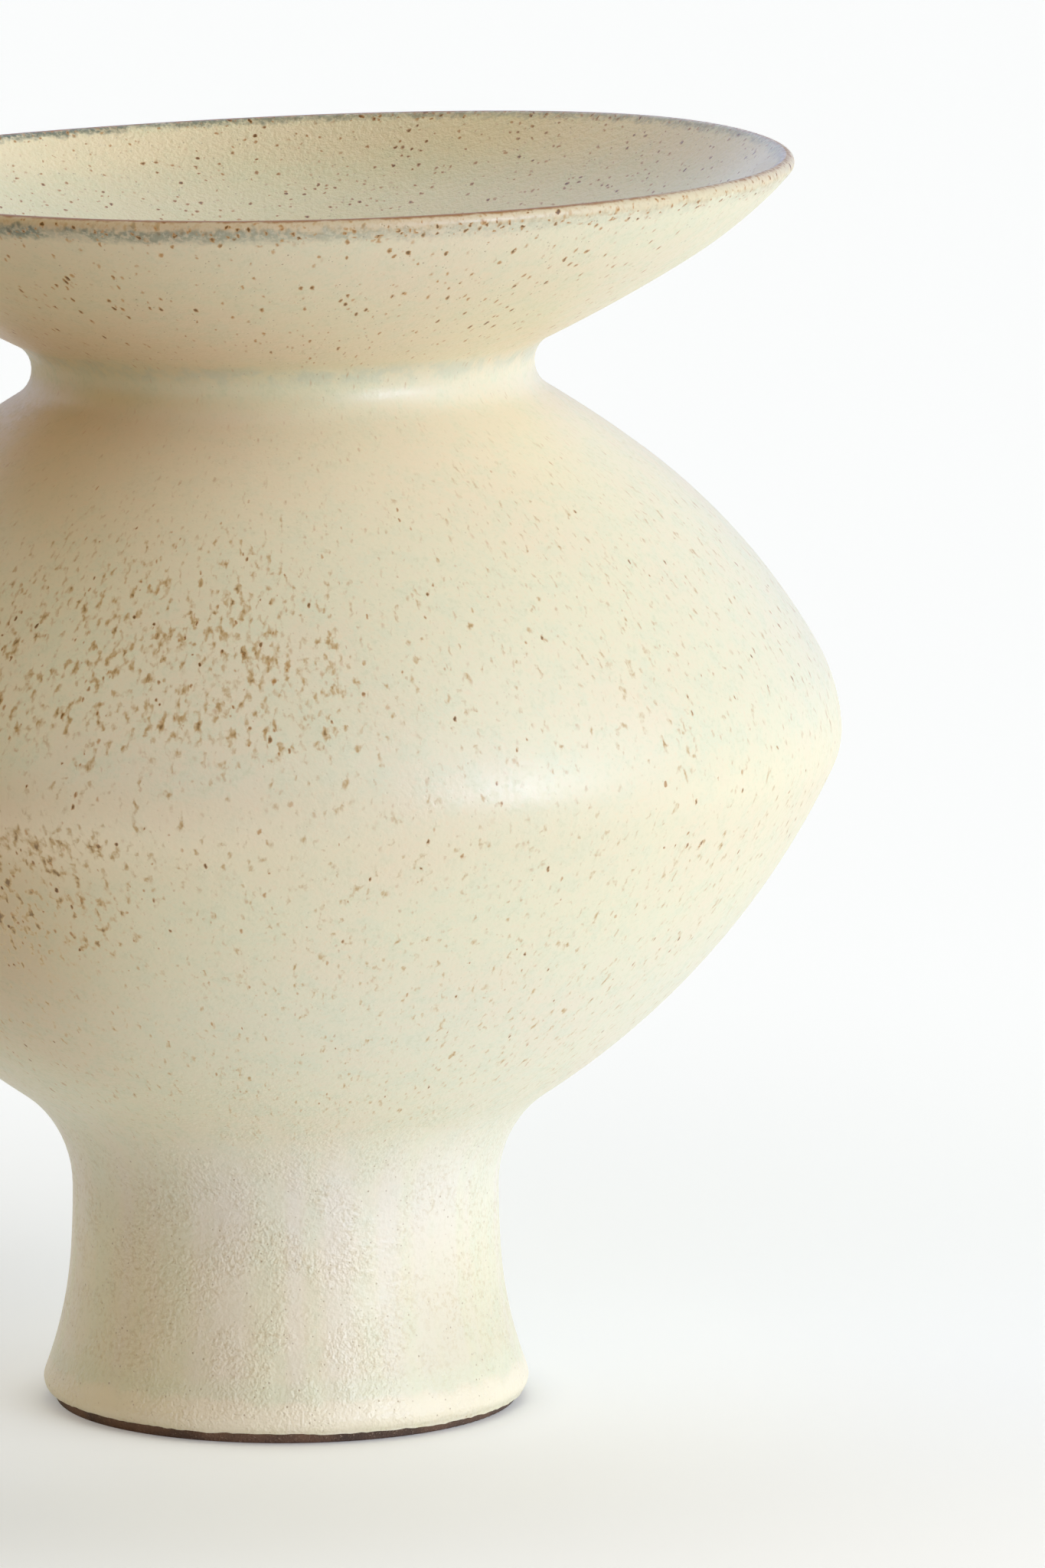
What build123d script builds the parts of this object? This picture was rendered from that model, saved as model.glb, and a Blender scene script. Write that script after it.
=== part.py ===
from build123d import *
import os

# A wheel-thrown stoneware vase: a trimmed pedestal, a deep bowl, a domed shoulder and a wide
# flared dish, thrown as four sections and luted together with slip. Each joint is a V tongue
# in a V groove with a film of slip between. A coat of glaze covers the outside down to the
# bevel of the foot, another covers the inside down to the floor, and the two meet on the lip.
# Millimetres, +Z up, the origin on the axis in the plane that the foot stands on.

glaze = 0.6              # fired thickness of each coat
slip = 0.6               # film of slip left in a joint
tongue_width = 3.4       # the V of a joint, across the wall
tongue_depth = 2.0

# The glazed outside of the wall, as (radius, height, wall), with the wall measured through
# both coats. Every stretch between two rings is one arc that runs smoothly into the next.
waist = (52.4, 53.5, 7.0)
rings_above_waist = [
    (65.8, 78.6, 6.6),       # the concave waist runs out into the bowl
    (134.5, 158.6, 6.0),     # underside of the belly ridge
    (136.2, 168.2, 6.0),     # top of the belly ridge
    (130.4, 186.4, 6.0),     # shoulder, low
    (89.4, 232.6, 5.6),      # shoulder, high
    (65.1, 249.2, 5.6),      # under the neck
    (61.2, 256.5, 5.6),      # neck, the narrowest ring
    (65.5, 263.1, 5.6),      # over the neck
    (99.2, 281.8, 5.0),      # middle of the dish
    (117.1, 295.6, 4.4),     # the dish turns up
    (122.9, 301.7, 4.0),     # lip, rounded over its whole thickness
]
rings_below_waist = [
    (52.9, 37.6),            # the pedestal starts to flare
    (59.5, 7.0),             # top of the foot's roll
    (58.7, 2.8),             # lower edge of the glaze
]

# The inside of the pedestal and the trimmed underside.
floor_height = 9.0
floor_corner = 18.0
foot_ring_outer = 56.5
foot_ring_inner = 46.0
recess_radius = 42.0
recess_height = 3.0

# Joints between the thrown sections, as (radius of the middle of the wall, height).
waist_joint = (50.6, 64.0)
belly_joint = (133.2, 167.0)
neck_joint = (58.4, 256.5)

above_all = 320.0
below_all = -10.0
beyond_all = 150.0


def thrown_curve(start, heading, rings):
    """Join rings by arcs, each tangent to the last, and give the heading at every ring."""
    headings = []
    for ring in rings:
        arc = TangentArc(start, ring, tangent=heading)
        start, heading = ring, arc % 1
        headings.append(heading)
    return headings


def across_wall(ring, heading, depth):
    """The point at a depth from the outside of the wall, square to its surface."""
    return (ring[0] - depth * heading.Y, ring[1] + depth * heading.X)


# ---- the four lines of the section, drawn with radius as X and height as Y ----
up = Vector(0, 1)
outside_rings = [ring[:2] for ring in rings_above_waist]
lip = rings_above_waist[-1]

with BuildLine() as outer_skin:
    thrown_curve(waist[:2], -up, rings_below_waist)
    headings = thrown_curve(waist[:2], up, outside_rings)
    lip_middle = across_wall(lip, headings[-1], lip[2] / 2)
    crest = (lip_middle[0], lip_middle[1] + lip[2] / 2)
    TangentArc(lip[:2], crest, tangent=headings[-1])

inside_waist = (waist[0] - waist[2], waist[1])
inside_rings = [
    across_wall(ring, heading, ring[2]) for ring, heading in zip(rings_above_waist, headings)
]

with BuildLine() as inner_skin:
    thrown_curve(inside_waist, up, inside_rings)
    TangentArc(crest, inside_rings[-1], tangent=(-1, 0))
    floor_line = FilletPolyline(
        inside_waist, (inside_waist[0], floor_height), (0, floor_height), radius=floor_corner
    )

# The clay lies one coat of glaze inside each skin.
with BuildLine() as outer_clay:
    offset(outer_skin.wire(), amount=glaze, side=Side.RIGHT, closed=False)
with BuildLine() as inner_clay:
    offset(inner_skin.wire(), amount=glaze, side=Side.RIGHT, closed=False)

glaze_edge = (outer_clay.wire() @ 1)        # where the bare clay of the bevel begins
clay_crest = (outer_clay.wire() @ 0)
clay_floor = (0, floor_height - glaze)

with BuildSketch() as clay_section:
    with BuildLine():
        add(outer_clay.line)
        add(inner_clay.line)
        Line(clay_floor, (0, recess_height))
        FilletPolyline(
            (0, recess_height), (recess_radius, recess_height), (foot_ring_inner, 0),
            (foot_ring_outer, 0), glaze_edge, radius=(3.0, 1.5, 0.8)
        )
    make_face()


def joint_line(joint, lift):
    """A cut across the whole section with the V of a joint in it, raised by a lift."""
    radius, height = joint[0], joint[1] + lift
    return [
        (-1, height), (radius - tongue_width / 2, height), (radius, height - tongue_depth),
        (radius + tongue_width / 2, height), (beyond_all, height)
    ]


bottom = [(-1, below_all), (beyond_all, below_all)]
top = [(-1, above_all), (beyond_all, above_all)]


def clay_between(low_line, high_line):
    """The clay of the section between two cuts, standing on the XZ plane."""
    with BuildSketch(Plane.XZ, mode=Mode.PRIVATE) as slice_of_wall:
        add(clay_section.sketch)
        with BuildLine():
            Polyline(*low_line, *reversed(high_line), close=True)
        make_face(mode=Mode.INTERSECT)
    return slice_of_wall.sketch


# ---- thrown sections, from the foot up ----
with BuildPart() as pedestal_foot:
    revolve(clay_between(bottom, joint_line(waist_joint, -slip / 2)), axis=Axis.Z)

with BuildPart() as lower_bowl:
    revolve(
        clay_between(joint_line(waist_joint, slip / 2), joint_line(belly_joint, -slip / 2)),
        axis=Axis.Z
    )

with BuildPart() as upper_dome:
    revolve(
        clay_between(joint_line(belly_joint, slip / 2), joint_line(neck_joint, -slip / 2)),
        axis=Axis.Z
    )

with BuildPart() as flared_dish:
    revolve(clay_between(joint_line(neck_joint, slip / 2), top), axis=Axis.Z)


# ---- slip in the joints ----
def slip_film(joint):
    """What the two sections of a joint leave between them."""
    return clay_between(joint_line(joint, -slip / 2), joint_line(joint, slip / 2))


with BuildPart() as waist_slip_seam:
    revolve(slip_film(waist_joint), axis=Axis.Z)

with BuildPart() as belly_slip_seam:
    revolve(slip_film(belly_joint), axis=Axis.Z)

with BuildPart() as neck_slip_seam:
    revolve(slip_film(neck_joint), axis=Axis.Z)

# ---- coats of glaze ----
with BuildPart() as outer_glaze:
    with BuildSketch(Plane.XZ):
        with BuildLine():
            add(outer_skin.line)
            add(outer_clay.line)
            Line(crest, clay_crest)
            Line(rings_below_waist[-1], glaze_edge)
        make_face()
    revolve(axis=Axis.Z)

with BuildPart() as inner_glaze:
    with BuildSketch(Plane.XZ):
        with BuildLine():
            add(inner_skin.line)
            add(inner_clay.line)
            Line(crest, clay_crest)
            Line((0, floor_height), clay_floor)
        make_face()
    revolve(axis=Axis.Z)

pieces = {
    "pedestal_foot": pedestal_foot,
    "lower_bowl": lower_bowl,
    "upper_dome": upper_dome,
    "flared_dish": flared_dish,
    "waist_slip_seam": waist_slip_seam,
    "belly_slip_seam": belly_slip_seam,
    "neck_slip_seam": neck_slip_seam,
    "outer_glaze": outer_glaze,
    "inner_glaze": inner_glaze,
}
os.makedirs("parts", exist_ok=True)
for name, piece in pieces.items():
    piece.part.label = name
    export_step(piece.part, f"parts/{name}.step")
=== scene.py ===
from math import atan2, ceil, cos, exp, hypot, pi, radians, sin, tau
import bpy
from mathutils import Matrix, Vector, kdtree, noise


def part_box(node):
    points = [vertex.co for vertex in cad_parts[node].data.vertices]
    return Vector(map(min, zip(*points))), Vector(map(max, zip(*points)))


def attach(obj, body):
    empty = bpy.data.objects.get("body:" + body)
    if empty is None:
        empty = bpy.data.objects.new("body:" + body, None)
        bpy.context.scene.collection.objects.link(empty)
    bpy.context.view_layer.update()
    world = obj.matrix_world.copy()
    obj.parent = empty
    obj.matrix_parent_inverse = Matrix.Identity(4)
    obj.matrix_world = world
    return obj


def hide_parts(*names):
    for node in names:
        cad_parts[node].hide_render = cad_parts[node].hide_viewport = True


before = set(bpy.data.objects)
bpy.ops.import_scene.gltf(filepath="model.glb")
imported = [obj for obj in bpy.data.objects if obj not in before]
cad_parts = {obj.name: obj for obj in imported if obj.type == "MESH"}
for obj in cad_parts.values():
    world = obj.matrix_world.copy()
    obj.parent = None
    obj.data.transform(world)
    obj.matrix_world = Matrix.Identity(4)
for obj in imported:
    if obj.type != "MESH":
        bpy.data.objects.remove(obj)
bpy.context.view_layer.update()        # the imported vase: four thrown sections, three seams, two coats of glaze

# The wall as it was thrown, in millimetres: (radius, height, wall) at each ring where one
# arc runs into the next. The frame's own height turns millimetres into scene units.
vaseForm = {
    "height": 305.0,
    "waist": (52.4, 53.5, 7.0),
    "ringsAbove": [
        (65.8, 78.6, 6.6), (134.5, 158.6, 6.0), (136.2, 168.2, 6.0), (130.4, 186.4, 6.0),
        (89.4, 232.6, 5.6), (65.1, 249.2, 5.6), (61.2, 256.5, 5.6), (65.5, 263.1, 5.6),
        (99.2, 281.8, 5.0), (117.1, 295.6, 4.4), (122.9, 301.7, 4.0),
    ],
    "ringsBelow": [(52.9, 37.6), (59.5, 7.0), (58.7, 2.8)],
    "footRing": (56.5, 0.0),
    "floor": 9.0,
    "floorCorner": 18.0,
    "coat": 0.6,             # fired thickness of the glaze
    "step": 2.8,             # longest stretch of wall between two rings of the mesh
    "turn": radians(14),     # most that the wall turns between two rings
    "sides": 280,
}
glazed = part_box("outer_glaze")
mm = glazed[1][2] / vaseForm["height"]


def arcStretch(start, heading, ring):
    # points along the arc that leaves start on this heading and ends on the ring
    across, rise = ring[0] - start[0], ring[1] - start[1]
    chord = hypot(across, rise)
    turn = 2 * ((atan2(rise, across) - heading + pi) % tau - pi)
    radius = chord / (2 * sin(turn / 2)) if abs(turn) > 1e-6 else 1e9
    length = abs(radius * turn) if abs(turn) > 1e-6 else chord
    count = ceil(max(length / vaseForm["step"], abs(turn) / vaseForm["turn"], 1))
    points = []
    for i in range(1, count + 1):
        part = turn * i / count
        reach = 2 * radius * sin(part / 2) if abs(turn) > 1e-6 else chord * i / count
        points.append((start[0] + reach * cos(heading + part / 2),
                       start[1] + reach * sin(heading + part / 2)))
    return points, heading + turn


def thrownLine(start, heading, rings):
    line, headings = [start[:2]], []
    for ring in rings:
        points, heading = arcStretch(line[-1], heading, ring)
        line += points
        headings.append(heading)
    return line, headings


def acrossWall(ring, heading, depth):
    return (ring[0] - depth * sin(heading), ring[1] + depth * cos(heading))


waist, above = vaseForm["waist"], vaseForm["ringsAbove"]
lineDown, _ = thrownLine(waist, -pi / 2, vaseForm["ringsBelow"])
lineUp, headings = thrownLine(waist, pi / 2, above)
lip = above[-1]
lipMiddle = acrossWall(lip, headings[-1], lip[2] / 2)
crest = (lipMiddle[0], lipMiddle[1] + lip[2] / 2)
lipRoll, _ = arcStretch(lip[:2], headings[-1], crest)
edgeAbove, edgeBelow = lineDown[-1], vaseForm["footRing"]
glazeEnd = [(edgeAbove[0] + (edgeBelow[0] - edgeAbove[0]) * part * part,
             edgeAbove[1] + (edgeBelow[1] - edgeAbove[1]) * part) for part in (0.45, 0.3, 0.15)]
outsideLine = glazeEnd + lineDown[:0:-1] + lineUp + lipRoll

insideWaist = (waist[0] - waist[2], waist[1])
insideRings = [acrossWall(ring, heading, ring[2]) for ring, heading in zip(above, headings)]
insideUp, _ = thrownLine(insideWaist, pi / 2, insideRings)
lipBack, _ = arcStretch(crest, pi, insideRings[-1])
well = (insideWaist[0], vaseForm["floor"] + vaseForm["floorCorner"])
floorEdge = (insideWaist[0] - vaseForm["floorCorner"], vaseForm["floor"])
wallDown, _ = arcStretch(insideWaist, -pi / 2, well)
corner, _ = arcStretch(well, -pi / 2, floorEdge)
floorIn, _ = arcStretch(floorEdge, pi, (0.0, vaseForm["floor"]))
insideLine = (wallDown + corner + floorIn)[::-1] + insideUp + lipBack[-2::-1] + [crest]


def deselectAll():
    bpy.ops.object.select_all(action="DESELECT")


def workOn(piece):
    deselectAll()
    piece.select_set(True)
    bpy.context.view_layer.objects.active = piece


def spunWall(name, line, facesOut):
    # a line of rings on one side of the axis, spun round it like a pot on the wheel
    deselectAll()
    start = (line[0][0] * mm, 0, line[0][1] * mm)
    bpy.ops.mesh.primitive_plane_add(size=0.01, location=start)
    piece = bpy.context.object
    piece.name = piece.data.name = name
    bpy.ops.object.transform_apply(location=True, rotation=True, scale=True)
    bpy.ops.object.mode_set(mode="EDIT")
    bpy.ops.mesh.merge(type="CENTER")
    for here, there in zip(line, line[1:]):
        rise = ((there[0] - here[0]) * mm, 0, (there[1] - here[1]) * mm)
        bpy.ops.mesh.extrude_vertices_move(TRANSFORM_OT_translate={"value": rise})
    bpy.ops.mesh.select_all(action="SELECT")
    bpy.ops.mesh.spin(steps=vaseForm["sides"], angle=tau, center=(0, 0, 0), axis=(0, 0, 1))
    bpy.ops.mesh.select_all(action="SELECT")
    bpy.ops.mesh.remove_doubles(threshold=0.00002)
    bpy.ops.mesh.normals_make_consistent(inside=False)
    bpy.ops.object.mode_set(mode="OBJECT")
    widest = max(piece.data.polygons, key=lambda face: face.center.x)
    if (widest.normal.x > 0) != facesOut:
        bpy.ops.object.mode_set(mode="EDIT")
        bpy.ops.mesh.select_all(action="SELECT")
        bpy.ops.mesh.flip_normals()
        bpy.ops.object.mode_set(mode="OBJECT")
    return piece


def lengthOf(line):
    return sum(hypot(b[0] - a[0], b[1] - a[1]) for a, b in zip(line, line[1:])) * mm


def markAlongWall(piece, line):
    # each point of the wall remembers how far up the thrown line it lies, in metres
    lengths, tree = [0.0], kdtree.KDTree(len(line))
    for here, there in zip(line, line[1:]):
        lengths.append(lengths[-1] + hypot(there[0] - here[0], there[1] - here[1]) * mm)
    for i, (radius, height) in enumerate(line):
        tree.insert((radius * mm, height * mm, 0), i)
    tree.balance()
    marks = []
    for vertex in piece.data.vertices:
        at = (hypot(vertex.co.x, vertex.co.y), vertex.co.z, 0)
        marks.append(lengths[tree.find(at)[1]])
    attribute = piece.data.attributes.new("alongWall", "FLOAT", "POINT")
    attribute.data.foreach_set("value", marks)


# The glaze was wiped off the foot: it ends in an uneven line, lower to the right.
wiped = {
    "height": 1.25, "slope": -0.0093,    # above the end of the thrown line
    "waves": 14.0, "waviness": 0.45,
    "nicks": 2.2, "nickDepth": 0.42,
    "reach": 7.0,                        # how far up the wall is drawn along with the edge
}


def wipeFoot(piece, line):
    # slides the lowest rings along the wall, each point by what its side was wiped
    lengths = [0.0]
    for here, there in zip(line, line[1:]):
        lengths.append(lengths[-1] + hypot(there[0] - here[0], there[1] - here[1]))
    marks = piece.data.attributes["alongWall"].data
    for vertex, mark in zip(piece.data.vertices, marks):
        along = mark.value / mm
        if along > wiped["reach"]:
            continue
        azimuth = atan2(vertex.co.y, vertex.co.x)
        around = Vector((cos(azimuth), sin(azimuth), 0)) * vaseForm["footRing"][0]
        edge = wiped["height"] + wiped["slope"] * around.x
        edge += wiped["waviness"] * noise.noise(around / wiped["waves"])
        edge += wiped["nickDepth"] * noise.noise(around / wiped["nicks"])
        along = max(edge, 0) + along * (1 - max(edge, 0) / wiped["reach"])
        i = max(k for k, length in enumerate(lengths[:-1]) if length <= along)
        part = (along - lengths[i]) / (lengths[i + 1] - lengths[i])
        radius, height = [a + (b - a) * part for a, b in zip(line[i], line[i + 1])]
        vertex.co = (radius * mm * cos(azimuth), radius * mm * sin(azimuth), height * mm)
        mark.value = along * mm


# What the hand adds to a true turned form: the rim leans up to the right, the lip wavers
# and the dish sits a little off the axis.
handThrown = {
    "lean": 0.0198,
    "leanFrom": 120, "leanTo": 305,
    "shift": 0.84,
    "dishFrom": 256, "dishTo": 303,
    "waver": ((2, 0.55, 0.79), (3, -0.37, -0.10)),
    "raised": (0.65, 0.45, 0.75),        # towards where, how widely, how much
}


def easedIn(low, high, value):
    share = min(max((value - low) / (high - low), 0), 1)
    return share * share * (3 - 2 * share)


def throwByHand(piece):
    h = handThrown
    for vertex in piece.data.vertices:
        x, y, z = vertex.co
        leaning = h["lean"] * easedIn(h["leanFrom"], h["leanTo"], z / mm)
        dish = easedIn(h["dishFrom"], h["dishTo"], z / mm)
        azimuth = atan2(y, x)
        waver = sum(a * cos(n * azimuth) + b * sin(n * azimuth) for n, a, b in h["waver"])
        towards, width, raised = h["raised"]
        waver += raised * exp(-((azimuth - towards) / width) ** 2)
        vertex.co.z += leaning * x + dish * waver * mm
        vertex.co.x += dish * h["shift"] * mm


def giveThickness(piece, thickness):
    workOn(piece)
    coat = piece.modifiers.new("coat", "SOLIDIFY")
    coat.thickness, coat.offset, coat.use_even_offset = thickness, -1, True
    bpy.ops.object.modifier_apply(modifier=coat.name)
    bpy.ops.object.shade_smooth_by_angle(angle=radians(50))


print("throwing the wall")
outsideCoat = spunWall("outsideCoat", outsideLine, True)
markAlongWall(outsideCoat, outsideLine)
wipeFoot(outsideCoat, outsideLine)
insideCoat = spunWall("insideCoat", insideLine, False)
markAlongWall(insideCoat, insideLine)
for coat, node in ((outsideCoat, "outer_glaze"), (insideCoat, "inner_glaze")):
    throwByHand(coat)
    giveThickness(coat, vaseForm["coat"] * mm)
    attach(coat, "root")
    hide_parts(node)

print("carrying the hidden clay and slip along with the wall")
hidden = {"pedestal_foot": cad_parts["pedestal_foot"],
          "waist_slip_seam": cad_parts["waist_slip_seam"]}
for node in ("lower_bowl", "upper_dome", "flared_dish", "belly_slip_seam", "neck_slip_seam"):
    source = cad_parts[node]
    carried = source.copy()
    carried.data = source.data.copy()
    carried.name = carried.data.name = node + "_thrown"
    bpy.context.collection.objects.link(carried)
    workOn(carried)
    bpy.ops.object.mode_set(mode="EDIT")
    bpy.ops.mesh.select_all(action="SELECT")
    bpy.ops.mesh.remove_doubles(threshold=0.000001)
    bpy.ops.object.mode_set(mode="OBJECT")
    throwByHand(carried)
    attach(carried, "root")
    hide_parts(node)
    hidden[node] = carried

print("mixing the glazes")


def newMaterial(name):
    material = bpy.data.materials.new(name)
    material.use_nodes = True
    return material, material.node_tree, material.node_tree.nodes["Principled BSDF"]


def step(tree, kind, feeds, **choices):
    # one node, its choices set and its inputs fed with numbers or with other nodes' outputs
    node = tree.nodes.new("ShaderNode" + kind)
    for name, choice in choices.items():
        setattr(node, name, choice)
    for name, feed in feeds.items():
        if isinstance(feed, bpy.types.NodeSocket):
            tree.links.new(feed, node.inputs[name])
        else:
            node.inputs[name].default_value = feed
    return node


def maths(tree, operation, first, second=0.0, third=0.0):
    node = step(tree, "Math", {0: first, 1: second, 2: third}, operation=operation)
    return node.outputs[0]


def times(tree, first, second):
    return maths(tree, "MULTIPLY", first, second)


def rising(tree, value, low, high, bottom=0.0, top=1.0):
    # eases from bottom to top while the value goes from low to high
    feeds = {"Value": value, "From Min": low, "From Max": high, "To Min": bottom, "To Max": top}
    return step(tree, "MapRange", feeds, interpolation_type="SMOOTHSTEP").outputs["Result"]


def band(tree, value, low, full, fade, high):
    # 1 between full and fade, easing to 0 at low and at high
    return times(tree, rising(tree, value, low, full), rising(tree, value, fade, high, 1, 0))


def cloud(tree, vector, size, detail=2.0, rough=0.5):
    feeds = {"Vector": vector, "Scale": 1 / size, "Detail": detail, "Roughness": rough}
    return step(tree, "TexNoise", feeds).outputs["Fac"]


def mixed(tree, share, under, over, blend="MIX"):
    feeds = {0: share, 6: under, 7: over}
    return step(tree, "Mix", feeds, data_type="RGBA", blend_type=blend).outputs[2]


def gapTo(tree, place, centre):
    gap = step(tree, "VectorMath", {0: place, 1: centre}, operation="DISTANCE")
    return gap.outputs["Value"]


def spots(tree, vector, apart, biggest, soft, rarity):
    # round spots, one to a cell, each with a size and a depth of its own, and none in a cell
    # whose chance is under the rarity; the cells are turned, so that they follow no axis
    turned = step(tree, "VectorRotate", {"Vector": vector, "Rotation": (0.6, 0.4, 0.9)},
                  rotation_type="EULER_XYZ").outputs[0]
    cells = step(tree, "TexVoronoi", {"Vector": turned, "Scale": 1 / apart, "Randomness": 1.0})
    chance = step(tree, "SeparateColor", {"Color": cells.outputs["Color"]})
    size = rising(tree, chance.outputs[0], rarity, 1.0, 0.0, biggest / apart)
    inner = maths(tree, "SUBTRACT", size, soft / apart)
    return rising(tree, cells.outputs["Distance"], inner, size, 1.0, 0.0), chance.outputs[1]


def wallPlace(tree, stretch):
    # where a point is, how far along the wall, and the wall unrolled with its length
    # shortened, so that what is round there comes out drawn down the pot
    spot = {}
    spot["place"] = step(tree, "TexCoord", {}).outputs["Object"]
    apart = step(tree, "SeparateXYZ", {"Vector": spot["place"]})
    spot["x"], spot["y"], spot["z"] = apart.outputs
    flat = step(tree, "CombineXYZ", {"X": spot["x"], "Y": spot["y"]}).outputs[0]
    around = step(tree, "VectorMath", {0: flat}, operation="NORMALIZE").outputs[0]
    feeds = {0: around, "Scale": glazeLook["unrolledRadius"]}
    around = spot["around"] = step(tree, "VectorMath", feeds, operation="SCALE").outputs[0]
    spot["along"] = step(tree, "Attribute", {}, attribute_name="alongWall").outputs["Fac"]
    rise = step(tree, "CombineXYZ", {"Z": maths(tree, "DIVIDE", spot["along"], stretch)}).outputs[0]
    spot["unrolled"] = step(tree, "VectorMath", {0: around, 1: rise}, operation="ADD").outputs[0]
    feeds = {"Vector": spot["place"], "Scale": glazeLook["jitterScale"], "Detail": 1.0}
    jitter = step(tree, "TexNoise", feeds)
    spot["ragged"] = jitter.outputs["Fac"]
    feeds = {0: jitter.outputs["Color"], 1: (0.5, 0.5, 0.5)}
    spot["push"] = step(tree, "VectorMath", feeds, operation="SUBTRACT").outputs[0]
    return spot


def pushed(tree, vector, spot, amount):
    # the vector pushed about a little, so that what is drawn from it is not quite round
    push = step(tree, "VectorMath", {0: spot["push"], "Scale": amount}, operation="SCALE")
    return step(tree, "VectorMath", {0: vector, 1: push.outputs[0]}, operation="ADD").outputs[0]


# Stoneware glaze: buttermilk where it is even, peach where it ran thin over the rings, grey
# green where it pooled, and iron from the clay coming through as dots on the dish and as
# smudged runs on the belly. Places and widths in metres, colours linear.
glazeLook = {
    # the glaze
    "cream": (0.855, 0.790, 0.540, 1), "blush": (0.88, 0.755, 0.53, 1),
    "sage": (0.775, 0.775, 0.545, 1), "bisque": (0.86, 0.765, 0.595, 1),
    "peach": (0.90, 0.70, 0.44, 1), "pale": (0.92, 0.82, 0.60, 1),
    "fleck": (0.73, 0.70, 0.45, 1), "warmEdge": (0.64, 0.48, 0.25, 1),
    "pooled": (0.54, 0.56, 0.44, 1), "pooledDark": (0.13, 0.165, 0.115, 1),
    "pinhole": (0.44, 0.30, 0.16, 1),
    # the iron that comes through it
    "stain": (0.72, 0.572, 0.332, 1), "iron": (0.53, 0.322, 0.11, 1),
    "rust": (0.56, 0.29, 0.09, 1), "ironCore": (0.14, 0.065, 0.015, 1),
    "rimBrown": (0.37, 0.155, 0.028, 1),
    # tints that multiply the glaze on one part of the pot
    # the first two tints are painted shade for the pot's shaded left side
    "paintedLeftShade": (0.86, 0.79, 0.70, 1), "bellyShadeTint": (0.82, 0.76, 0.70, 1),
    # the first of these is painted shade, low on the pedestal's right
    "footRightShade": (0.91, 0.92, 0.89, 1), "milky": (0.98, 1.0, 1.08, 1),
    # the first of these is painted shade on the left of the dish's underside
    "warm": (0.96, 0.905, 0.90, 1), "straw": (0.95, 0.95, 0.86, 1),
    # painted light: brightens the whole inside
    "inside": (1.085, 1.06, 0.965, 1),
    # roughness, relief and the glassier layer inside the dish
    "glossy": 0.30, "dry": 0.44,
    "relief": 0.35, "reliefDepth": 0.0012,
    "glassy": 0.9, "glassyRoughness": 0.17,
    # how wide the clouds of each kind are
    "clouds": {"wide": 0.045, "bands": 0.018, "broken": 0.013, "fine": 0.0060,
               "smudge": 0.00145, "grain": 0.0013, "pimples": 0.0010},
    "unrolledRadius": 0.110,
    "drawnDown": 1.9,        # how much longer than wide the marks outside are
    "jitterScale": 650.0,    # of the noise that makes edges ragged
    # spots: how far apart, the biggest, how soft
    "dots": (0.0016, 0.00084, 0.00080),
    "bleeds": (0.0016, 0.00100, 0.0009),
    "cores": (0.0014, 0.00056, 0.00040),
    "pinholes": (0.0012, 0.00036, 0.00026),
    # smudges, darker further in: where a colour starts and is full, its most, the colour
    "smudges": (
        (-0.095, 0.03, 0.8, "stain"),
        (-0.020, 0.11, 0.75, "iron"),
        (0.075, 0.20, 0.7, "ironCore"),
    ),
    # heights where something starts, is full, begins to fade and is gone
    "heights": {
        "footPale": (0.0040, 0.0070, 0.0095, 0.0150),
        "footSage": (0.0115, 0.0135, 0.0150, 0.0190),
        "milky": (0.040, 0.070, 0.110, 0.150),
        "underBelly": (0.085, 0.110, 0.150, 0.168),
        "ironBelly": (0.060, 0.095, 0.215, 0.262),
        "thinRidge": (0.146, 0.164, 0.172, 0.184),
        "clearRidge": (0.158, 0.166, 0.176, 0.185),
        "thinShoulder": (0.215, 0.256, 0.259, 0.264),
        "neck": (0.249, 0.254, 0.260, 0.266),
        "crease": (0.2570, 0.2605, 0.2612, 0.2640),
        "thinDish": (0.266, 0.271, 0.273, 0.286),
    },
    # how far from the lip the brown crest, the warm edge and the pool reach, and how much of
    # the pool is left on the right and in its gaps
    "lipOutside": {"crest": 0.0008, "warm": 0.0034, "pool": (0.0026, 0.0042, 0.0054, 0.0086),
                   "right": 0.15, "gaps": 0.35},
    "lipInside": {"crest": 0.0003, "warm": 0.0004, "pool": (0.0000, 0.0008, 0.0016, 0.0038),
                  "right": 0.5, "gaps": 0.8},
    # painted shade in a patch low on the left of the belly, and where iron gathers on the belly: centre, reach,
    # how much
    "bellyShadePatch": ((-0.080, -0.098, 0.134), 0.060),
    "ironPatches": [
        ((-0.024, -0.121, 0.196), 0.045, 1.0),
        ((-0.066, -0.108, 0.192), 0.044, 0.95),
        ((-0.066, -0.112, 0.151), 0.034, 1.45),
        ((0.085, 0.085, 0.190), 0.060, 0.85),
        ((0.010, 0.120, 0.140), 0.060, 0.6),
    ],
}


def bodyTone(tree, spot):
    # cream with soft green and pink clouding, coarse, fine and down to single grains
    look, clouds = glazeLook, glazeLook["clouds"]
    wide = cloud(tree, spot["place"], clouds["wide"], 2.0)
    fine = cloud(tree, spot["place"], clouds["fine"], 3.0, 0.6)
    grain = cloud(tree, spot["place"], clouds["grain"], 2.0, 0.65)
    tone = mixed(tree, rising(tree, wide, 0.45, 0.65, 0.0, 0.5), look["cream"], look["blush"])
    tone = mixed(tree, rising(tree, fine, 0.46, 0.66, 0.0, 0.45), tone, look["sage"])
    tone = mixed(tree, rising(tree, fine, 0.32, 0.46, 0.3, 0.0), tone, look["blush"])
    flecked = times(tree, rising(tree, grain, 0.48, 0.70, 0.0, 0.5),
                    rising(tree, fine, 0.40, 0.62, 0.35, 1.0))
    tone = mixed(tree, flecked, tone, look["fleck"])
    tone = mixed(tree, rising(tree, grain, 0.30, 0.46, 0.22, 0.0), tone, look["peach"])
    return tone, wide, fine, grain


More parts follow.
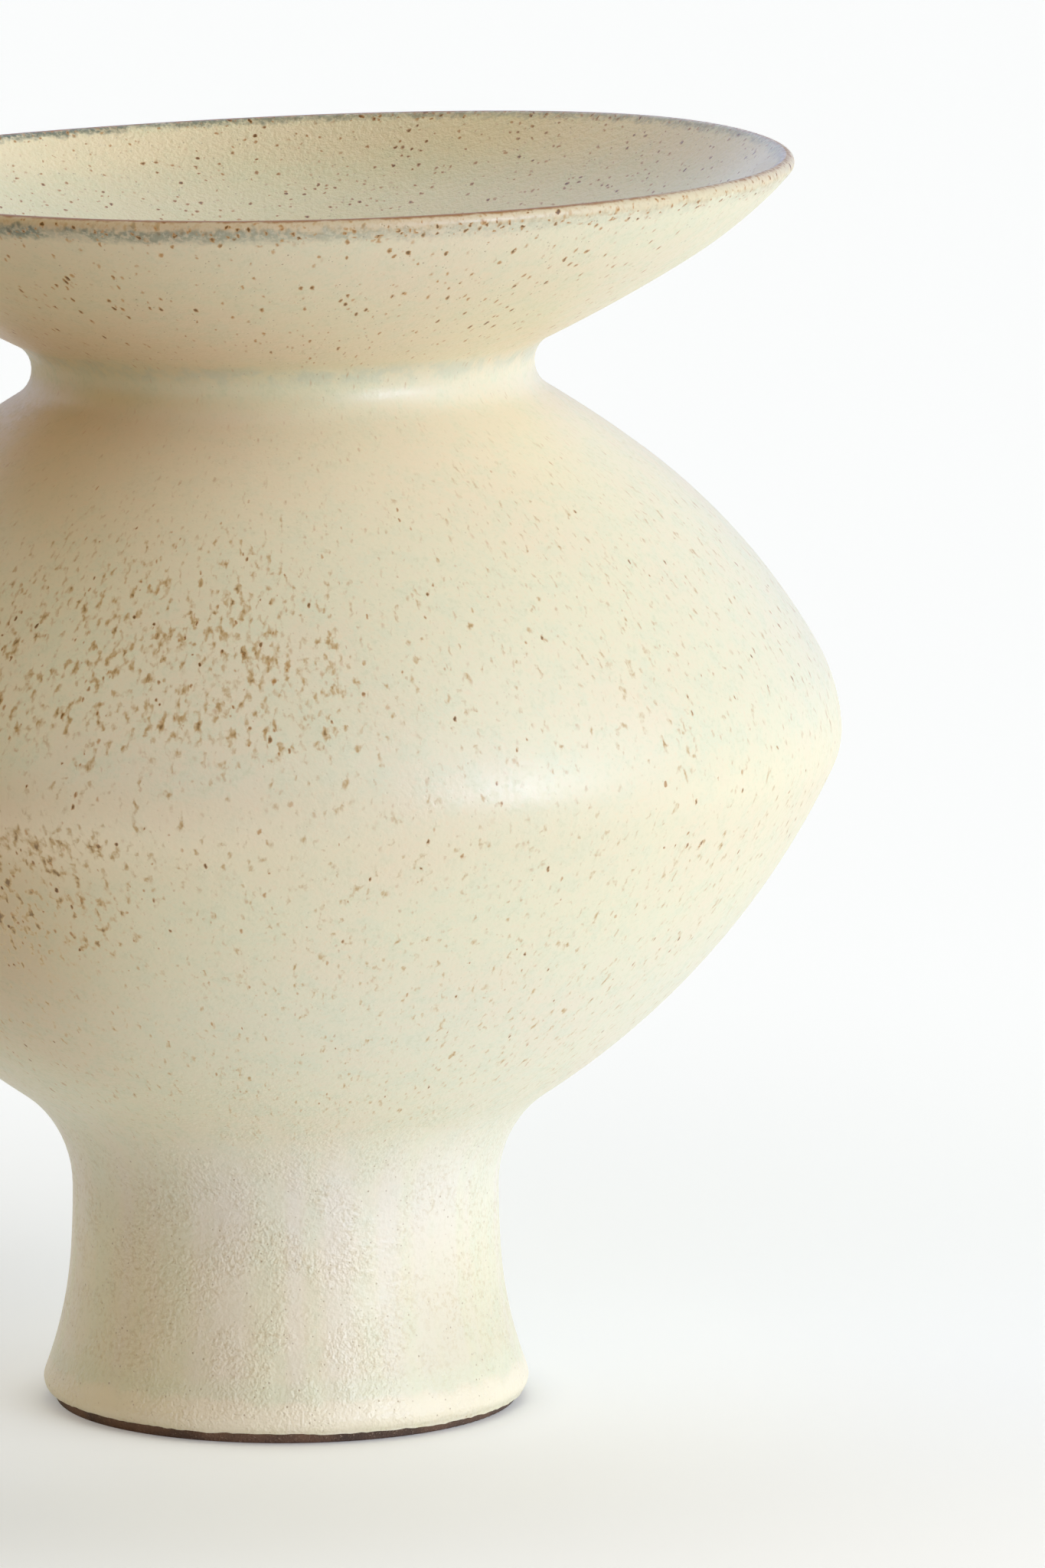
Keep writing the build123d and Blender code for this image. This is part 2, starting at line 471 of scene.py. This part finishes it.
def dotted(tree, tone, where, amount):
    # brown dots of all sizes, some faint and some nearly black in the middle
    dots, depth = spots(tree, where, *glazeLook["dots"], 0.25)
    dots = times(tree, times(tree, dots, amount), rising(tree, depth, 0.0, 0.8, 0.25, 1.0))
    tone = mixed(tree, rising(tree, dots, 0.0, 0.50, 0.0, 0.9), tone, glazeLook["rust"])
    return mixed(tree, rising(tree, dots, 0.40, 0.95, 0.0, 0.9), tone, glazeLook["ironCore"])


def lipTone(tree, tone, spot, lipAlong, side, broken, fine, grain):
    # the lip: thin brown crest, a warm edge, then a broken pool with iron bleeding through it
    look, lip = glazeLook, glazeLook[side]
    poolFade, poolEnd = lip["pool"][2:]
    toLip = maths(tree, "SUBTRACT", lipAlong, spot["along"])
    uneven = maths(tree, "ADD", fine, times(tree, spot["ragged"], 0.8))
    uneven = maths(tree, "SUBTRACT", uneven, 0.9)
    edge = maths(tree, "MULTIPLY_ADD", uneven, 0.0035, toLip)
    warmth = times(tree, rising(tree, edge, lip["warm"], lip["warm"] + 0.0016, 1.0, 0.0),
                   rising(tree, spot["x"], -0.12, 0.08, 0.70, 0.50))
    tone = mixed(tree, warmth, tone, look["warmEdge"])
    rusty = times(tree, warmth, rising(tree, grain, 0.48, 0.68, 0.0, 0.45))
    tone = mixed(tree, rusty, tone, look["rust"])

    pool = times(tree, band(tree, edge, *lip["pool"]),
                 rising(tree, spot["x"], -0.12, 0.08, 1.0, lip["right"]))
    pool = times(tree, pool, rising(tree, broken, 0.30, 0.52, lip["gaps"], 1.0))
    pool = times(tree, pool, rising(tree, grain, 0.34, 0.58, 0.45, 1.05))
    tone = mixed(tree, pool, tone, look["pooledDark"])

    rarity = rising(tree, spot["x"], -0.02, 0.09, 0.0, 0.12)
    where = pushed(tree, spot["place"], spot, 0.0020)
    bleed, depth = spots(tree, where, *look["bleeds"], rarity)
    bleed = times(tree, bleed, band(tree, toLip, -0.001, 0.0005, poolFade, poolEnd + 0.0015))
    bleed = times(tree, bleed, rising(tree, depth, 0.0, 0.8, 0.45, 1.2))
    bleed = times(tree, bleed, rising(tree, grain, 0.30, 0.55, 0.6, 1.0))
    tone = mixed(tree, rising(tree, bleed, 0.0, 0.50, 0.0, 0.9), tone, look["rust"])
    tone = mixed(tree, rising(tree, bleed, 0.34, 0.84, 0.0, 0.95), tone, look["ironCore"])

    # the crest is whole, apart from the right, where it is mottled
    crest = maths(tree, "MULTIPLY_ADD", uneven, 0.0012, toLip)
    crest = rising(tree, crest, lip["crest"], lip["crest"] + 0.0008, 1.0, 0.0)
    mottled = rising(tree, grain, 0.40, 0.60, 0.15, 0.75)
    strength = mixed(tree, rising(tree, spot["x"], 0.060, 0.112), (0.95, 0.95, 0.95, 1), mottled)
    return mixed(tree, times(tree, crest, strength), tone, look["rimBrown"])


def pinholed(tree, tone, spot, amount):
    # pinholes where the glaze boiled: small dark pits, which the bump sinks too
    pits, depth = spots(tree, spot["place"], *glazeLook["pinholes"], 0.30)
    pits = times(tree, times(tree, pits, rising(tree, depth, 0.0, 1.0, 0.3, 1.0)), amount)
    return mixed(tree, times(tree, pits, 0.8), tone, glazeLook["pinhole"]), pits


def ironBelly(tree, tone, spot, wide, fine, broken):
    # iron on the belly, gathered in some patches and rare elsewhere
    look = glazeLook
    belly = band(tree, spot["z"], *look["heights"]["ironBelly"])
    ridge = band(tree, spot["z"], *look["heights"]["clearRidge"])
    dense = rising(tree, wide, 0.50, 0.80, 0.05, 0.5)
    for centre, reach, amount in look["ironPatches"]:
        gap = gapTo(tree, spot["place"], centre)
        near = rising(tree, gap, reach * 0.3, reach * 1.4, amount, 0.0)
        dense = maths(tree, "MAXIMUM", dense, near)
    dense = times(tree, dense, rising(tree, broken, 0.32, 0.58, 0.5, 1.0))
    dense = times(tree, dense, maths(tree, "MULTIPLY_ADD", ridge, -0.75, 1.0))
    dense = times(tree, dense, belly)
    where = pushed(tree, spot["unrolled"], spot, 0.0008)
    level = maths(tree, "MULTIPLY_ADD", dense, -0.140, 0.735)
    level = maths(tree, "MULTIPLY_ADD", fine, -0.06, level)
    smudge = cloud(tree, where, look["clouds"]["smudge"], 2.0, 0.42)
    smudge = maths(tree, "SUBTRACT", smudge, level)
    for start, full, most, colour in look["smudges"]:
        share = times(tree, rising(tree, smudge, start, full, 0.0, most), belly)
        tone = mixed(tree, share, tone, look[colour])
    rarity = maths(tree, "MULTIPLY_ADD", dense, -0.65, 0.90)
    cores, depth = spots(tree, where, *look["cores"], rarity)
    cores = times(tree, times(tree, cores, rising(tree, depth, 0.0, 1.0, 0.2, 1.0)), belly)
    tone = mixed(tree, rising(tree, cores, 0.0, 0.6, 0.0, 0.8), tone, look["rust"])
    return mixed(tree, rising(tree, cores, 0.45, 1.0, 0.0, 0.95), tone, look["ironCore"])


def finishGlaze(tree, shader, tone, skin, grain):
    tree.links.new(tone, shader.inputs["Base Color"])
    gloss = rising(tree, grain, 0.3, 0.7, glazeLook["glossy"], glazeLook["dry"])
    tree.links.new(gloss, shader.inputs["Roughness"])
    feeds = {"Height": skin, "Strength": glazeLook["relief"], "Distance": glazeLook["reliefDepth"]}
    bump = step(tree, "Bump", feeds)
    tree.links.new(bump.outputs["Normal"], shader.inputs["Normal"])


def dressOutside(coat, lipAlong):
    look, clouds, heights = glazeLook, glazeLook["clouds"], glazeLook["heights"]
    material, tree, shader = newMaterial("outsideGlaze")
    spot = wallPlace(tree, look["drawnDown"])
    tone, wide, fine, grain = bodyTone(tree, spot)
    broken = cloud(tree, spot["place"], clouds["broken"], 2.0, 0.6)
    height = maths(tree, "MULTIPLY_ADD", wide, 0.012, spot["z"])

    # the pedestal is pinker and greener in bands drawn down it, darker low on its right as painted shade, and
    # sandy
    pedestal = rising(tree, spot["z"], 0.055, 0.085, 1.0, 0.0)
    bands = cloud(tree, spot["around"], clouds["bands"], 2.0)
    green = times(tree, rising(tree, bands, 0.45, 0.70, 0.0, 0.4), pedestal)
    tone = mixed(tree, green, tone, look["sage"])
    pink = times(tree, rising(tree, bands, 0.35, 0.60, 0.7, 0.2), pedestal)
    tone = mixed(tree, pink, tone, look["bisque"])
    # painted shade low on the pedestal's right side
    footRightShade = times(tree, rising(tree, spot["x"], 0.0, 0.040),
                  rising(tree, spot["z"], 0.018, 0.050, 1.0, 0.0))
    tone = mixed(tree, footRightShade, tone, look["footRightShade"], "MULTIPLY")
    sandy = times(tree, rising(tree, grain, 0.47, 0.70),
                  rising(tree, broken, 0.38, 0.58, 0.1, 0.38))
    tone = mixed(tree, times(tree, sandy, pedestal), tone, look["warmEdge"])

    # thin over the ridge, the shoulder under the neck and the foot's lower edge
    thin = times(tree, band(tree, height, *heights["thinRidge"]), 0.55)
    for ring in ("thinShoulder", "thinDish"):
        thin = maths(tree, "MAXIMUM", thin, times(tree, band(tree, height, *heights[ring]), 0.5))
    thin = times(tree, thin, rising(tree, spot["x"], -0.10, 0.09, 1.0, 0.25))
    tone = mixed(tree, thin, tone, look["peach"])
    low = maths(tree, "MULTIPLY_ADD", fine, 0.004, spot["z"])
    for ring, most, colour in (("footPale", 0.85, "pale"), ("footSage", 0.4, "sage")):
        tone = mixed(tree, times(tree, band(tree, low, *heights[ring]), most), tone, look[colour])

    # milky under the belly, painted shade on the left of the dish's underside, and straw in the neck
    tone = mixed(tree, band(tree, height, *heights["milky"]), tone, look["milky"], "MULTIPLY")
    # painted shade: darker and warmer on the left under the dish
    dish = times(tree, rising(tree, spot["z"], 0.255, 0.268),
                 rising(tree, spot["x"], 0.02, 0.11, 1.0, 0.0))
    tone = mixed(tree, dish, tone, look["warm"], "MULTIPLY")
    neck = times(tree, band(tree, spot["z"], *heights["neck"]),
                 rising(tree, spot["x"], -0.01, 0.06, 1.0, 0.0))
    tone = mixed(tree, neck, tone, look["straw"], "MULTIPLY")

    # painted shade on the left side, away from the key light, under the dish and under the belly
    paintedLeftShade = rising(tree, spot["x"], -0.11, 0.02, 1.0, 0.0)
    under = maths(tree, "MAXIMUM", band(tree, height, *heights["underBelly"]),
                  rising(tree, height, 0.195, 0.235))
    tone = mixed(tree, times(tree, paintedLeftShade, under), tone, look["paintedLeftShade"], "MULTIPLY")
    # painted shade: a darker patch low on the belly's left side
    centre, reach = look["bellyShadePatch"]
    bellyShadePatch = rising(tree, gapTo(tree, spot["place"], centre), 0.0, reach, 1.0, 0.0)
    tone = mixed(tree, bellyShadePatch, tone, look["bellyShadeTint"], "MULTIPLY")

    # pooled in the crease under the dish
    crease = times(tree, band(tree, spot["z"], *heights["crease"]),
                   rising(tree, fine, 0.40, 0.62, 0.05, 0.35))
    tone = mixed(tree, crease, tone, look["pooled"])

    tone = ironBelly(tree, tone, spot, wide, fine, broken)
    sparse = times(tree, rising(tree, spot["z"], 0.258, 0.276, 0.22, 1.0),
                   rising(tree, spot["x"], 0.060, 0.105, 1.0, 0.3))
    sparse = times(tree, sparse, rising(tree, broken, 0.36, 0.62, 0.6, 1.3))
    sparse = times(tree, sparse, rising(tree, spot["z"], 0.055, 0.100, 0.3, 1.0))
    tone = dotted(tree, tone, pushed(tree, spot["unrolled"], spot, 0.0009), sparse)
    pitted = maths(tree, "MAXIMUM", rising(tree, spot["z"], 0.060, 0.095, 1.0, 0.25),
                   rising(tree, spot["z"], 0.250, 0.270))
    tone, pits = pinholed(tree, tone, spot, pitted)
    tone = lipTone(tree, tone, spot, lipAlong, "lipOutside", broken, fine, grain)
    rough = times(tree, rising(tree, broken, 0.38, 0.58, 0.35, 1.1),
                  rising(tree, spot["z"], 0.055, 0.110, 1.0, 0.15))
    pimples = times(tree, cloud(tree, spot["place"], clouds["pimples"], 1.0, 0.6), rough)
    skin = maths(tree, "MULTIPLY_ADD", fine, 0.30, pimples)
    skin = maths(tree, "MULTIPLY_ADD", pits, -0.45, skin)
    finishGlaze(tree, shader, tone, skin, grain)
    coat.data.materials.append(material)


def dressInside(coat, lipAlong):
    # pinker near the lip and greener below it, brightened all over as painted light, and glassier than the
    # outside
    look = glazeLook
    material, tree, shader = newMaterial("insideGlaze")
    spot = wallPlace(tree, look["drawnDown"])
    tone, _, fine, grain = bodyTone(tree, spot)
    broken = cloud(tree, spot["place"], look["clouds"]["broken"], 2.0, 0.6)
    fromLip = maths(tree, "SUBTRACT", lipAlong, spot["along"])
    fromLip = maths(tree, "MULTIPLY_ADD", broken, 0.008, fromLip)
    pinker = times(tree, band(tree, fromLip, 0.005, 0.009, 0.012, 0.024), 0.45)
    greener = times(tree, band(tree, fromLip, 0.012, 0.026, 0.040, 0.070), 0.35)
    tone = mixed(tree, greener, mixed(tree, pinker, tone, look["blush"]), look["sage"])
    # the whole inside brightened all over: painted light
    tone = mixed(tree, 1.0, tone, look["inside"], "MULTIPLY")
    where = pushed(tree, spot["place"], spot, 0.0012)
    tone = dotted(tree, tone, where, rising(tree, broken, 0.36, 0.62, 0.6, 1.3))
    tone, pits = pinholed(tree, tone, spot, 0.8)
    tone = lipTone(tree, tone, spot, lipAlong, "lipInside", broken, fine, grain)
    skin = maths(tree, "MULTIPLY_ADD", fine, 0.2, times(tree, grain, 1.1))
    skin = maths(tree, "MULTIPLY_ADD", pits, -0.5, skin)
    finishGlaze(tree, shader, tone, skin, grain)
    shader.inputs["Coat Weight"].default_value = look["glassy"]
    shader.inputs["Coat Roughness"].default_value = look["glassyRoughness"]
    coat.data.materials.append(material)


dressOutside(outsideCoat, lengthOf(outsideLine))
dressInside(insideCoat, lengthOf(insideLine))

# Iron-rich stoneware, bare only under the foot: trimmed in rings and rough with sand.
clayLook = {
    "toasted": (0.20, 0.11, 0.063, 1), "burnt": (0.085, 0.052, 0.035, 1),
    "sand": (0.36, 0.25, 0.17, 1), "slip": (0.36, 0.24, 0.16, 1),
    "clouds": {"flame": 0.022, "sand": 0.0007},
    "rings": 0.0021,         # width of a trimming groove
    "roughness": 0.86,
    "relief": 0.7, "reliefDepth": 0.0009,
}


def clayMaterial(name, under, over):
    material, tree, shader = newMaterial(name)
    place = step(tree, "TexCoord", {}).outputs["Object"]
    flame = cloud(tree, place, clayLook["clouds"]["flame"], 3.0, 0.6)
    sand = cloud(tree, place, clayLook["clouds"]["sand"], 2.0, 0.7)
    tone = mixed(tree, rising(tree, flame, 0.35, 0.65), under, over)
    tone = mixed(tree, rising(tree, sand, 0.60, 0.72, 0.0, 0.8), tone, clayLook["sand"])
    tone = mixed(tree, rising(tree, sand, 0.28, 0.42, 0.7, 0.0), tone, clayLook["burnt"])
    tree.links.new(tone, shader.inputs["Base Color"])
    shader.inputs["Roughness"].default_value = clayLook["roughness"]
    flat = step(tree, "VectorMath", {0: place, 1: (1, 1, 0)}, operation="MULTIPLY").outputs[0]
    radius = step(tree, "VectorMath", {0: flat}, operation="LENGTH").outputs["Value"]
    grooves = maths(tree, "SINE", times(tree, radius, tau / clayLook["rings"]))
    skin = maths(tree, "MULTIPLY_ADD", grooves, 0.12, times(tree, sand, 0.8))
    feeds = {"Height": skin, "Strength": clayLook["relief"], "Distance": clayLook["reliefDepth"]}
    bump = step(tree, "Bump", feeds)
    tree.links.new(bump.outputs["Normal"], shader.inputs["Normal"])
    return material


bareClay = clayMaterial("bareClay", clayLook["toasted"], clayLook["burnt"])
slipClay = clayMaterial("slipClay", clayLook["toasted"], clayLook["slip"])
for node, piece in hidden.items():
    piece.data.materials.clear()
    piece.data.materials.append(slipClay if "seam" in node else bareClay)

print("lighting the studio")
# the lights are soft discs far away: azimuth from +X towards +Y, elevation, width, colour
studio = {
    "eye": (0, -2.77395, 0.59303), "pan": 0.0210, "tilt": 0.1575, "lens": 263.5,
    "lights": {
        "keyLow": (-41, 2, 26, (1.08, 1.30, 1.76)),
        "keyHigh": (-32, 24, 62, (1.33, 1.51, 1.86)),
        "overhead": (-15, 52, 60, (0.58, 0.47, 0.21)),
        "backLeft": (125, 32, 60, (0.16, 0.20, 0.24)),
        "backRight": (60, 8, 50, (0.03, 0.04, 0.11)),
        "left": (180, 35, 70, (0.43, 0.35, 0.06)),
        "front": (-110, 18, 70, (0.16, 0.01, 0.00)),
    },
    # the floor's glow is painted light: it grows along a slant across the paper and away from the pot's shadow
    # side, so that it paints the pot's shadow
    "floorColor": (0.822, 0.834, 0.805, 1),
    "farGlow": 0.40, "glowFrom": -0.04, "glowTo": 0.416,
    "glowSlant": (-0.20, -0.57, 0), "shadowSide": (-0.10, -0.13, 0),
    # painted contact shadow on the paper round the foot
    "footShade": (0.054, 0.072, 0.5),    # round the foot, from where to where, and what is left
    "stripX": (-0.40, -0.16), "stripY": (-0.40, -0.20),      # where it also lights the pot
    # painted light beside the foot, that only a camera sees
    "lift": ((-0.100, -0.010, 0), 0.200, 0.155),     # beside the foot: where, reach, most
    # the paper behind the pot is bright and the room in front is dark
    "backWall": 0.86, "frontWall": 0.02, "backdrop": 1.0, "coolPaper": (0.67, 0.745, 0.97, 1),
}
bpy.ops.object.camera_add(location=studio["eye"],
                          rotation=(pi / 2 - studio["tilt"], 0, -studio["pan"]))
camera = bpy.context.object
camera.name = "studioCamera"
camera.data.lens = studio["lens"]
camera.data.clip_end = 50
bpy.context.scene.camera = camera

for name, (azimuth, elevation, width, color) in studio["lights"].items():
    around, rise = radians(azimuth), radians(elevation)
    towards = Vector((cos(around) * cos(rise), sin(around) * cos(rise), sin(rise)))
    bpy.ops.object.light_add(type="SUN", location=towards * 3)
    light = bpy.context.object
    light.name = name
    light.rotation_euler = towards.to_track_quat("Z", "Y").to_euler()
    light.data.energy, light.data.angle = max(color), radians(width)
    light.data.color = [part / max(color) for part in color]

bpy.ops.mesh.primitive_circle_add(vertices=96, radius=4, fill_type="NGON")
floor = bpy.context.object
floor.name = "studioFloor"
floorPaper, tree, shader = newMaterial("floorPaper")
shader.inputs["Base Color"].default_value = studio["floorColor"]
shader.inputs["Roughness"].default_value = 1
shader.inputs["Specular IOR Level"].default_value = 0
shader.inputs["Emission Color"].default_value = (1, 1, 1, 1)
place = step(tree, "TexCoord", {}).outputs["Object"]
apart = step(tree, "SeparateXYZ", {"Vector": place})
slope = step(tree, "VectorMath", {0: place, 1: studio["glowSlant"]}, operation="DOT_PRODUCT")
slope = maths(tree, "ADD", slope.outputs["Value"], gapTo(tree, place, studio["shadowSide"]))
glow = rising(tree, slope, studio["glowFrom"], studio["glowTo"], 0.0, studio["farGlow"])
# painted contact shadow round the foot
shadeFrom, shadeTo, shadeLeft = studio["footShade"]
near = step(tree, "VectorMath", {0: place}, operation="LENGTH").outputs["Value"]
glow = times(tree, glow, rising(tree, near, shadeFrom, shadeTo, shadeLeft, 1))
# away from one strip only a camera sees the glow, so it doesn't light the pot
strip = times(tree, rising(tree, apart.outputs["Y"], *studio["stripY"]),
              rising(tree, apart.outputs["X"], *studio["stripX"]))
seen = step(tree, "LightPath", {}).outputs["Is Camera Ray"]
glow = times(tree, glow, maths(tree, "MAXIMUM", strip, seen))
# painted light beside the foot, for the camera only
centre, reach, lift = studio["lift"]
lifted = rising(tree, gapTo(tree, place, centre), 0, reach, lift, 0)
glow = maths(tree, "ADD", glow, times(tree, lifted, seen))
tree.links.new(glow, shader.inputs["Emission Strength"])
floor.data.materials.append(floorPaper)
bpy.context.scene.view_settings.view_transform = "Standard"

world = bpy.data.worlds.new("studio")
bpy.context.scene.world = world
world.use_nodes = True
tree = world.node_tree
wall = tree.nodes["Background"]
# a camera sees plain paper all round
facing = step(tree, "TexCoord", {}).outputs["Generated"]
facing = step(tree, "SeparateXYZ", {"Vector": facing}).outputs["Y"]
lit = rising(tree, facing, -0.1, 0.5, studio["frontWall"], studio["backWall"])
seen = step(tree, "LightPath", {}).outputs["Is Camera Ray"]
lit = maths(tree, "MAXIMUM", lit, times(tree, seen, studio["backdrop"]))
tint = mixed(tree, seen, studio["coolPaper"], (1, 1, 1, 1))
tree.links.new(tint, wall.inputs["Color"])
tree.links.new(lit, wall.inputs["Strength"])
